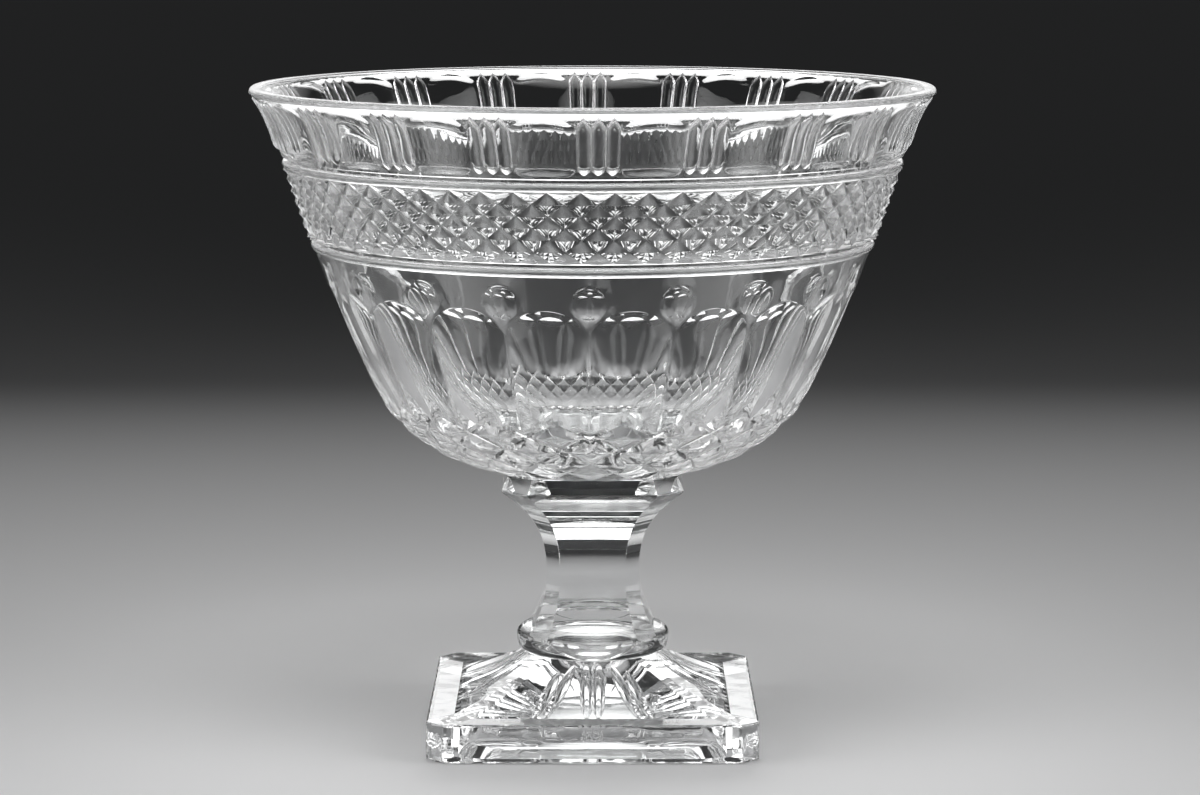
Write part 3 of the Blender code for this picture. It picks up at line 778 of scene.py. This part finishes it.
stem_profile += bezier((
    (NECK_HALF, NECK_LEVEL), (NECK_HALF, NECK_LEVEL + CURVE_UP),
    (PLATE_PULL * STEM_TOP_HALF, stem_height - PLATE_EDGE - PLATE_CURVE),
    (STEM_TOP_HALF, stem_height - PLATE_EDGE),
), 48)[1:]
stem_profile += [
    (STEM_TOP_HALF + PLATE_SOFT, stem_height - 0.90 * PLATE_EDGE),
    (STEM_TOP_HALF - PLATE_SOFT, stem_height - 0.78 * PLATE_EDGE),
    (STEM_TOP_HALF - 0.9 * PLATE_BEVEL, stem_height - 0.12 * PLATE_EDGE),
    (STEM_TOP_HALF - PLATE_BEVEL, stem_height),
]
stem_halves, stem_levels = zip(*stem_profile)
facet_edge = math.degrees(math.atan(FACET_SHARE))


def stem_radius(angle, height):
    """Distance from the axis to the clipped square at one height of the stem."""
    half = float(np.interp(height, stem_levels, stem_halves)) + KNOP_FLARE * max(0.0, KNOP_HEIGHT - height)
    turn = math.radians(angle)
    flat = (half + SEAM_RISE * (1.0 - math.tan(turn) / FACET_SHARE)) / math.cos(turn)
    corner = half * (1.0 + FACET_SHARE) / math.sqrt(2.0) / math.cos(math.radians(45.0) - turn)
    return min(flat, corner) if angle < facet_edge else corner


def knop_roll(height):
    """Radius of the turned roll at one height above the stem's ground end."""
    if height > KNOP_LEVEL:
        share = (height - KNOP_LEVEL) / (KNOP_HEIGHT - KNOP_LEVEL)
        return mix(KNOP_HALF, KNOP_RADIUS, quarter_round(share))
    return mix(KNOP_END, KNOP_RADIUS, quarter_round(1.0 - height / KNOP_LEVEL))


def knop_reach(angle, height):
    """Distance from the axis below the roll, where the corners are trimmed round."""
    trim = mix(KNOP_END, KNOP_CORNER, quarter_round(1.0 - height / KNOP_HEIGHT))
    return max(knop_roll(height), min(stem_radius(angle, height), trim))


def crossing(low, high, inside):
    """The value between low and high where inside(value) stops being true, by halving."""
    for _ in range(40):
        middle = 0.5 * (low + high)
        low, high = (middle, high) if inside(middle) else (low, middle)
    return low


swell_level = max(
    (KNOP_LEVEL + (KNOP_HEIGHT - KNOP_LEVEL) * k / 100 for k in range(100)),
    key=lambda height: knop_roll(height) / stem_radius(0.0, height),
)
lens_edge = crossing(
    0.0, facet_edge, lambda angle: stem_radius(angle, swell_level) < knop_roll(swell_level),
)


def lens_ends(angle):
    """Heights at which the flat leaves the roll and meets it again, one above the other."""
    if angle >= lens_edge:
        return swell_level, swell_level
    low = crossing(0.0, swell_level, lambda height: knop_roll(height) < stem_radius(angle, height))
    high = crossing(swell_level, KNOP_HEIGHT, lambda height: knop_roll(height) > stem_radius(angle, height))
    return low, high


print("lens edge at", round(lens_edge, 2), "degrees, facet edge at", round(facet_edge, 2))

# %% [markdown]
# The stem's grid follows the lens: its rows first climb to the lens's lower edge, then cross the
# lens, then climb the flat to the top of the knop, and from there follow the profile.

# %% Press the stem
LENS_COLUMNS, SIDE_COLUMNS, CLIP_COLUMNS = 16, 6, 5
KNOP_ROWS, LENS_ROWS, FLAT_ROWS = 12, 14, 4
KNOP_CROWDING = 1.3
SIDES = 4
STEM, FOOT = 1000, 2000
stem_angles = [lens_edge * math.sin(math.pi / 2 * k / LENS_COLUMNS) for k in range(LENS_COLUMNS)]
stem_angles += [lens_edge + (facet_edge - lens_edge) * k / SIDE_COLUMNS for k in range(SIDE_COLUMNS)]
stem_angles += [facet_edge + (45.0 - facet_edge) * k / CLIP_COLUMNS for k in range(CLIP_COLUMNS + 1)]
flat_first = KNOP_ROWS + LENS_ROWS
shaft_first = flat_first + FLAT_ROWS
stem_rows = shaft_first + len(stem_profile) - 1


def stem_point(column, row):
    angle = stem_angles[column]
    low, high = lens_ends(angle)
    if row <= KNOP_ROWS:
        height = low * (row / KNOP_ROWS) ** KNOP_CROWDING
        radius = knop_reach(angle, height)
    elif row <= flat_first:
        height = mix(low, high, math.sin(math.pi / 2 * (row - KNOP_ROWS) / LENS_ROWS))
        radius = knop_roll(height) if angle < lens_edge else knop_reach(angle, height)
    elif row <= shaft_first:
        height = mix(high, KNOP_HEIGHT, (row - flat_first) / FLAT_ROWS)
        radius = knop_reach(angle, height) if angle >= lens_edge else stem_radius(angle, height)
    else:
        height = stem_levels[row - shaft_first]
        radius = stem_radius(angle, height)
    return polar(angle, radius, STEM_FOOT + height)


stem_mesh = bmesh.new()
pressed_band(stem_mesh, STEM, len(stem_angles) - 1, stem_rows, stem_point, repeats=SIDES)
for end in (STEM, STEM + stem_rows):
    fill_ring(stem_mesh, end)
bmesh.ops.dissolve_degenerate(stem_mesh, dist=MERGE, edges=stem_mesh.edges)
bmesh.ops.recalc_face_normals(stem_mesh, faces=stem_mesh.faces)
for face in stem_mesh.faces:
    face.smooth = True
print("stem faces:", len(stem_mesh.faces), "open edges:", open_edges(stem_mesh))
stem_piece = make_piece("square_stem", stem_mesh, 12.0)

# %% [markdown]
# ## The square foot
#
# The foot is a plinth with clipped corners and a hollow underside, carrying a low four-sided
# pyramid that turns from square at its foot to round under the knop. It is laid out like the stem,
# an eighth at a time. Each side of the pyramid is then cut with three pairs of petals, which
# spread like fingers, and the corners get a flute on both sides. The plinth's own sides are not
# quite flat: two slow waves run along them, as the mould left them.

# %% Lay out the foot
FOOT_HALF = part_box("square_foot")[1][0]
FOOT_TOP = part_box("square_foot")[1][2]
PLINTH_HEIGHT = 14.2 * MM
FOOT_CLIP = 6.2 * MM
LEDGE = 10.0 * MM
PYRAMID_HALF = FOOT_HALF - LEDGE
BOSS_RADIUS = 22.8 * MM
FOOT_SAG = 1.2 * MM
RECESS_MARGIN = 11.5 * MM
RECESS_DEPTH = 5.0 * MM
RECESS_CORNER = 12.0 * MM
ROUND = 0.8 * MM
ROUNDING = ((ROUND, 0.0), (0.3 * ROUND, 0.3 * ROUND), (0.0, ROUND))
foot_corner = math.degrees(math.atan((FOOT_HALF - FOOT_CLIP) / FOOT_HALF))
EDGE_COLUMNS, CORNER_COLUMNS = 48, 4
PYRAMID_ROWS = 20
RIPPLE = 0.09 * MM
RIPPLE_PITCH = 7.4 * MM
SECOND_WAVE, SECOND_PITCH = 0.6, 0.62
foot_angles = [foot_corner * k / EDGE_COLUMNS for k in range(EDGE_COLUMNS)]
foot_angles += [foot_corner + (45.0 - foot_corner) * k / CORNER_COLUMNS for k in range(CORNER_COLUMNS + 1)]


def clipped_square(half, clip, angle):
    turn = math.radians(angle)
    corner = (2.0 * half - clip) / math.sqrt(2.0) / math.cos(math.radians(45.0) - turn)
    return min(half / math.cos(turn), corner)


def rounded_square(half, corner, angle):
    """Distance to a square with round corners, from the side's middle at 0 to the corner at 45."""
    turn = math.radians(angle)
    straight = half / math.cos(turn)
    if straight * math.sin(turn) <= half - corner:
        return straight
    middle = (half - corner) * math.sqrt(2.0)
    lean = math.radians(45.0) - turn
    return middle * math.cos(lean) + math.sqrt(max(0.0, corner ** 2 - (middle * math.sin(lean)) ** 2))


foot_rows = [("roof", 0.82, RECESS_DEPTH), ("roof", 0.93, 0.8 * RECESS_DEPTH), ("roof", 1.0, 0.0)]
foot_rows += [("plinth", inset, level) for inset, level in ROUNDING]
foot_rows += [("plinth", 0.0, PLINTH_HEIGHT * share) for share in (0.35, 0.65)]
foot_rows += [("plinth", inset, PLINTH_HEIGHT - drop) for inset, drop in reversed(ROUNDING)]
foot_rows += [("slope", k / PYRAMID_ROWS, 0.0) for k in range(PYRAMID_ROWS + 1)]


def slope_level(share):
    return mix(PLINTH_HEIGHT, FOOT_TOP, share) - FOOT_SAG * math.sin(math.pi * share)


def ripple(across):
    """The shallow waves that the mould leaves along the plinth's sides."""
    wave = math.tau * across / RIPPLE_PITCH
    return RIPPLE * (math.cos(wave) - 1.0 + SECOND_WAVE * (math.cos(SECOND_PITCH * wave + 1.0) - 1.0))


def foot_point(column, row):
    angle = foot_angles[column]
    kind, value, level = foot_rows[row]
    if kind == "roof":
        radius = value * rounded_square(FOOT_HALF - RECESS_MARGIN, RECESS_CORNER, angle)
    elif kind == "plinth":
        swell = ripple(FOOT_HALF * math.tan(math.radians(angle)))
        radius = clipped_square(FOOT_HALF - value, FOOT_CLIP, angle) + swell
    else:
        square = clipped_square(PYRAMID_HALF, FOOT_CLIP, angle)
        radius = mix(square, BOSS_RADIUS, value)
        level = slope_level(value)
    return polar(angle, radius, level)


foot_mesh = bmesh.new()
pressed_band(foot_mesh, FOOT, len(foot_angles) - 1, len(foot_rows) - 1, foot_point, repeats=SIDES)
for end in (FOOT, FOOT + len(foot_rows) - 1):
    fill_ring(foot_mesh, end)
bmesh.ops.recalc_face_normals(foot_mesh, faces=foot_mesh.faces)
foot_body = make_piece("square_foot_piece", foot_mesh, 25.0)
print("foot faces before the cuts:", len(foot_body.data.polygons))

# %% [markdown]
# Petals and corner flutes are true cuts with a round tool, so they are made with Booleans: stretched
# spheres sunk into the slope leave exactly such pointed hollows. The two petals of a pair overlap, so
# the left ones are cut first and the right ones after them, which keeps every cutter a clean solid.

# %% Cut the petals
CUT_SHARE = 0.87
PETAL_WIDTH = 5.0 * MM
PETAL_DEPTH = 1.7 * MM
PETAL_START = 25.0 * MM
PETAL_END = PYRAMID_HALF - 1.8 * MM
PETAL_SPLAY = 21.0
ROOT_SPREAD, TIP_SPREAD = 0.48, 0.42
CORNER_ROOT = (17.5 * MM, 28.7 * MM)
CORNER_TIP = (34.5 * MM, 41.7 * MM)
CORNER_WIDTH = 2.8 * MM
CORNER_DEPTH = 0.8 * MM


def on_slope(across, out):
    """A point on the pyramid's front slope, out from the axis and across from its middle."""
    share = (PYRAMID_HALF - out) / (PYRAMID_HALF - BOSS_RADIUS)
    return Vector((across, -out, slope_level(share)))


def add_cutter(bm, start, end, width, depth):
    """A stretched sphere that bites depth deep into the slope, midway between two points on it.

    It is twice as high as the bite is deep, so at the surface it has CUT_SHARE of its length and width.
    """
    along = (end - start) / 2.0 / CUT_SHARE
    side = along.cross(Vector((0.0, 0.0, 1.0))).normalized()
    normal = side.cross(along).normalized()
    middle = (start + end) / 2.0
    centre = on_slope(middle.x, -middle.y) + normal * depth
    turn = Matrix((along, side * width / 2.0 / CUT_SHARE, normal * 2.0 * depth)).transposed().to_4x4()
    bmesh.ops.create_icosphere(bm, subdivisions=4, radius=1.0, matrix=Matrix.Translation(centre) @ turn)


def cut(piece, cutter_mesh):
    """Subtracts a cutter from a piece and throws the cutter away."""
    bmesh.ops.recalc_face_normals(cutter_mesh, faces=cutter_mesh.faces)
    cutter = add_object("cutter", to_mesh(cutter_mesh, "cutter"))
    modifier = piece.modifiers.new("cut", "BOOLEAN")
    modifier.operation = "DIFFERENCE"
    modifier.solver = "EXACT"
    modifier.object = cutter
    result = bpy.data.meshes.new_from_object(piece.evaluated_get(bpy.context.evaluated_depsgraph_get()))
    piece.modifiers.clear()
    piece.data = result
    bpy.data.objects.remove(cutter)


for hand in (-1.0, 1.0):
    cutters = bmesh.new()
    for turn in (-PETAL_SPLAY, 0.0, PETAL_SPLAY):
        lean = math.tan(math.radians(turn))
        start = on_slope(PETAL_START * lean + hand * PETAL_WIDTH * ROOT_SPREAD, PETAL_START)
        end = on_slope(PETAL_END * lean + hand * PETAL_WIDTH * TIP_SPREAD, PETAL_END)
        add_cutter(cutters, start, end, PETAL_WIDTH, PETAL_DEPTH)
    root, tip = (on_slope(hand * across, out) for across, out in (CORNER_ROOT, CORNER_TIP))
    add_cutter(cutters, root, tip, CORNER_WIDTH, CORNER_DEPTH)
    spin_copies(cutters, SIDES)
    cut(foot_body, cutters)
foot_body.data.polygons.foreach_set("use_smooth", [True] * len(foot_body.data.polygons))
foot_body.data.set_sharp_from_angle(angle=math.radians(18.0))
print("foot faces:", len(foot_body.data.polygons))

# %% [markdown]
# ## The bond films
#
# Clear adhesive holds the stem to the foot and the bowl to the stem. Each film is a thin disc. It
# is drawn a hair thicker than the joint so that it dips into the glass on both sides: light then
# passes straight through, as it does through a good optical bond, instead of meeting an air gap.

# %% Make the bond films
DIP = 0.05 * MM
FILM_ROUND = 0.12 * MM


def bond_disc(name, node):
    low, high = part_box(node)
    disc = bmesh.new()
    bmesh.ops.create_cone(
        disc, cap_ends=True, segments=192, radius1=high[0], radius2=high[0],
        depth=high[2] - low[2] + 2.0 * DIP, matrix=Matrix.Translation((0, 0, (low[2] + high[2]) / 2.0)),
    )
    rims = [edge for edge in disc.edges if edge.verts[0].co.z == edge.verts[1].co.z]
    bmesh.ops.bevel(
        disc, geom=rims, offset=FILM_ROUND, offset_type="OFFSET", segments=2, profile=0.5,
        affect="EDGES", material=-1,
    )
    for face in disc.faces:
        face.smooth = len(face.verts) == 4
    return make_piece(name, disc, 40.0)


foot_film = bond_disc("foot_bond_film", "foot_bond")
bowl_film = bond_disc("bowl_bond_film", "bowl_bond")
print("bond films:", foot_film.name, bowl_film.name)

# %% [markdown]
# ## A small language for shaders
#
# Shader arithmetic is easier to read as a formula than as a tangle of nodes. The class below wraps
# an output socket, so that `+` and `*` add Math nodes, and `node` adds any other node, with its
# settings first and its inputs after them.

# %% Write the socket class
class Sock:
    def __init__(self, tree, socket):
        self.tree = tree
        self.socket = socket

    def node(self, kind, settings=None, inputs=None, output=0):
        made = self.tree.nodes.new(kind)
        for name, value in (settings or {}).items():
            setattr(made, name, value)
        for name, value in (inputs or {}).items():
            if isinstance(value, Sock):
                self.tree.links.new(value.socket, made.inputs[name])
            else:
                made.inputs[name].default_value = value
        return Sock(self.tree, made.outputs[output])

    def math(self, operation, first, second):
        return self.node("ShaderNodeMath", {"operation": operation}, {0: first, 1: second})

    def __add__(self, other):
        return self.math("ADD", self, other)

    def __radd__(self, other):
        return self.math("ADD", other, self)

    def __mul__(self, other):
        return self.math("MULTIPLY", self, other)

    def noise(self, scale, detail):
        """Noise between 0 and 1 in the object's own coordinates, scale in waves per metre."""
        inputs = {"Vector": self, "Scale": scale, "Detail": detail, "Roughness": 0.5}
        return self.node("ShaderNodeTexNoise", {}, inputs)

    def blend(self, low, high):
        """A colour between two colours, by this value."""
        return self.node(
            "ShaderNodeMix", {"data_type": "RGBA"}, {0: self, 6: (*low, 1.0), 7: (*high, 1.0)}, output=2,
        )


def new_material(name):
    """An emptied material, its coordinates in the object's space and its output node."""
    material = bpy.data.materials.new(name)
    material.use_nodes = True
    tree = material.node_tree
    tree.nodes.clear()
    coordinates = tree.nodes.new("ShaderNodeTexCoord")
    output = tree.nodes.new("ShaderNodeOutputMaterial")
    return material, Sock(tree, coordinates.outputs["Object"]), output


def surface(place, output, inputs):
    """A Principled shader with these inputs as the material's surface."""
    shader = place.node("ShaderNodeBsdfPrincipled", {}, inputs)
    place.tree.links.new(shader.socket, output.inputs["Surface"])


print("shader helpers ready")

# %% [markdown]
# ## Glass, bond and floor
#
# Pressed glass is never quite flat. Under the polish its skin keeps slow waves, where the hot glass
# shrank from the mould, and a finer mottle. Both are bumps of a few thousandths of a millimetre,
# enough to break the reflections up. The colour is close to white, because a tint grows with every
# pass through thick glass. Transmission and refraction are plain numbers on the shader.

# %% Make the materials
REFRACTION = 1.52
WAVE_SCALE, MOTTLE_SCALE, CLOUD_SCALE, GRAIN_SCALE = 70.0, 520.0, 160.0, 900.0


def glass(name, low, high, waves, mottle):
    material, place, output = new_material(name)
    slow = place.noise(WAVE_SCALE, 1.0)
    fine = place.noise(MOTTLE_SCALE, 2.0)
    skin = slow * waves + fine * mottle
    bump = place.node("ShaderNodeBump", {}, {"Strength": 1.0, "Distance": 1.0, "Height": skin})
    surface(place, output, {
        "Base Color": slow.blend(low, high), "Roughness": 0.004 + fine * 0.018,
        "IOR": REFRACTION, "Transmission Weight": 1.0, "Normal": bump,
    })
    return material


bowl_glass = glass("bowl_glass", (0.975, 0.982, 0.985), (0.99, 0.993, 0.993), 0.00006, 0.000004)
stem_glass = glass("stem_glass", (0.972, 0.980, 0.984), (0.988, 0.992, 0.993), 0.00005, 0.000004)
foot_glass = glass("foot_glass", (0.970, 0.979, 0.983), (0.988, 0.992, 0.993), 0.00007, 0.000005)


def bond_resin(name):
    material, place, output = new_material(name)
    cloud = place.noise(CLOUD_SCALE, 3.0)
    colour = cloud.blend((0.94, 0.95, 0.94), (0.98, 0.98, 0.975))
    surface(place, output, {
        "Base Color": colour, "Roughness": 0.02 + cloud * 0.06,
        "IOR": REFRACTION, "Transmission Weight": 1.0,
    })
    return material


bowl_bond_resin = bond_resin("bowl_bond_resin")
foot_bond_resin = bond_resin("foot_bond_resin")


def paper(name, colour):
    material, place, output = new_material(name)
    grain = place.noise(GRAIN_SCALE, 2.0)
    shade = grain.blend(tuple(value * 0.97 for value in colour), colour)
    surface(place, output, {"Base Color": shade, "Roughness": 0.7 + grain * 0.1})
    return material


floor_paper = paper("floor_paper", (0.74, 0.74, 0.745))
print("materials:", len(bpy.data.materials))

# %% [markdown]
# ## Dress the frame
#
# Each piece takes the place of one solid of the frame, which is hidden, rides on the one rigid body
# and carries its own glass or resin material.

# %% Attach the pieces
dressing = (
    (bowl_piece, "bowl", "bowl_glass", bowl_glass),
    (bowl_film, "bowl_bond", "bowl_bond_resin", bowl_bond_resin),
    (stem_piece, "stem", "stem_glass", stem_glass),
    (foot_film, "foot_bond", "foot_bond_resin", foot_bond_resin),
    (foot_body, "square_foot", "foot_glass", foot_glass),
)
for piece, node, slot, material in dressing:
    piece.data.materials.clear()
    piece.data.materials.append(material)
    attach(piece, "root")
    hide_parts(node)
    print(piece.name, "replaces", node)

# %% [markdown]
# ## Floor, light and camera
#
# Clear glass has hardly any colour of its own: it is drawn by what it bends and mirrors. A pale
# floor runs far back. It lies a hair below the foot: two faces in one plane would let the light that
# leaves the glass slip past the floor, and the foot's ledge would look black.

# %% Lay the floor
FLOOR_GAP = 0.3 * MM
floor_mesh = bmesh.new()
bmesh.ops.create_grid(floor_mesh, x_segments=1, y_segments=1, size=14.0)
floor = make_piece("floor", floor_mesh, 30.0)
floor.data.materials.append(floor_paper)
floor.location.z = -FLOOR_GAP
print("floor laid")

# %% [markdown]
# A wide soft box stands high behind the bowl and gives the diamonds their flash, two at the sides
# draw the ribs and the edges, and a small one above lights the floor round the foot. Each keeps its
# light within a cone, so the floor fades to grey behind the bowl and the glass stands out against it.

# %% Hang the soft boxes
def soft_box(name, place, target, width, height, power, spread):
    """An area lamp with a grid on its front, which keeps its light within the spread in degrees."""
    lamp = bpy.data.lights.new(name, "AREA")
    lamp.shape = "RECTANGLE"
    lamp.size = width
    lamp.size_y = height
    lamp.energy = power
    lamp.spread = math.radians(spread)
    box = add_object(name, lamp)
    box.location = place
    box.rotation_euler = (Vector(target) - Vector(place)).to_track_quat("-Z", "Y").to_euler()
    box.visible_camera = False


soft_box("back_box", (0, 0.85, 0.63), (0, 0, 0.2), 1.8, 0.88, 1.8, 70)
for name, side in (("left_box", -0.82), ("right_box", 0.82)):
    soft_box(name, (side, -0.28, 0.42), (0, 0, 0.2), 0.9, 0.9, 1.7, 80)
soft_box("top_box", (0, -0.35, 0.9), (0, -0.15, 0), 0.5, 0.5, 0.36, 44)
print("soft boxes:", len(bpy.data.lights))

# %% [markdown]
# The camera has a long lens and looks slightly down, at the angle of the photograph. Light crosses
# many faces on its way through a bowl, a stem and a foot of glass, so the paths may bend often.

# %% Set the world and the camera
LIGHT_BENDS = 32
CAMERA_PLACE = (0.0027, -1.3144, 0.3208)
CAMERA_DOWN = 8.53
scene = bpy.context.scene
world = bpy.data.worlds.new("studio")
world.use_nodes = True
background = world.node_tree.nodes["Background"]
background.inputs["Color"].default_value = (0.0200, 0.0204, 0.0208, 1.0)
background.inputs["Strength"].default_value = 1.0
scene.world = world
scene.view_settings.view_transform = "Standard"
scene.cycles.max_bounces = LIGHT_BENDS
scene.cycles.transmission_bounces = LIGHT_BENDS
scene.cycles.glossy_bounces = LIGHT_BENDS
camera_data = bpy.data.cameras.new("camera")
camera_data.sensor_width = 36.0
camera_data.lens = 108.0
camera_data.clip_end = 60.0
camera = add_object("camera", camera_data)
camera.location = CAMERA_PLACE
camera.rotation_euler = (math.radians(90.0 - CAMERA_DOWN), 0.0, 0.0)
scene.camera = camera
print("camera at", CAMERA_PLACE)
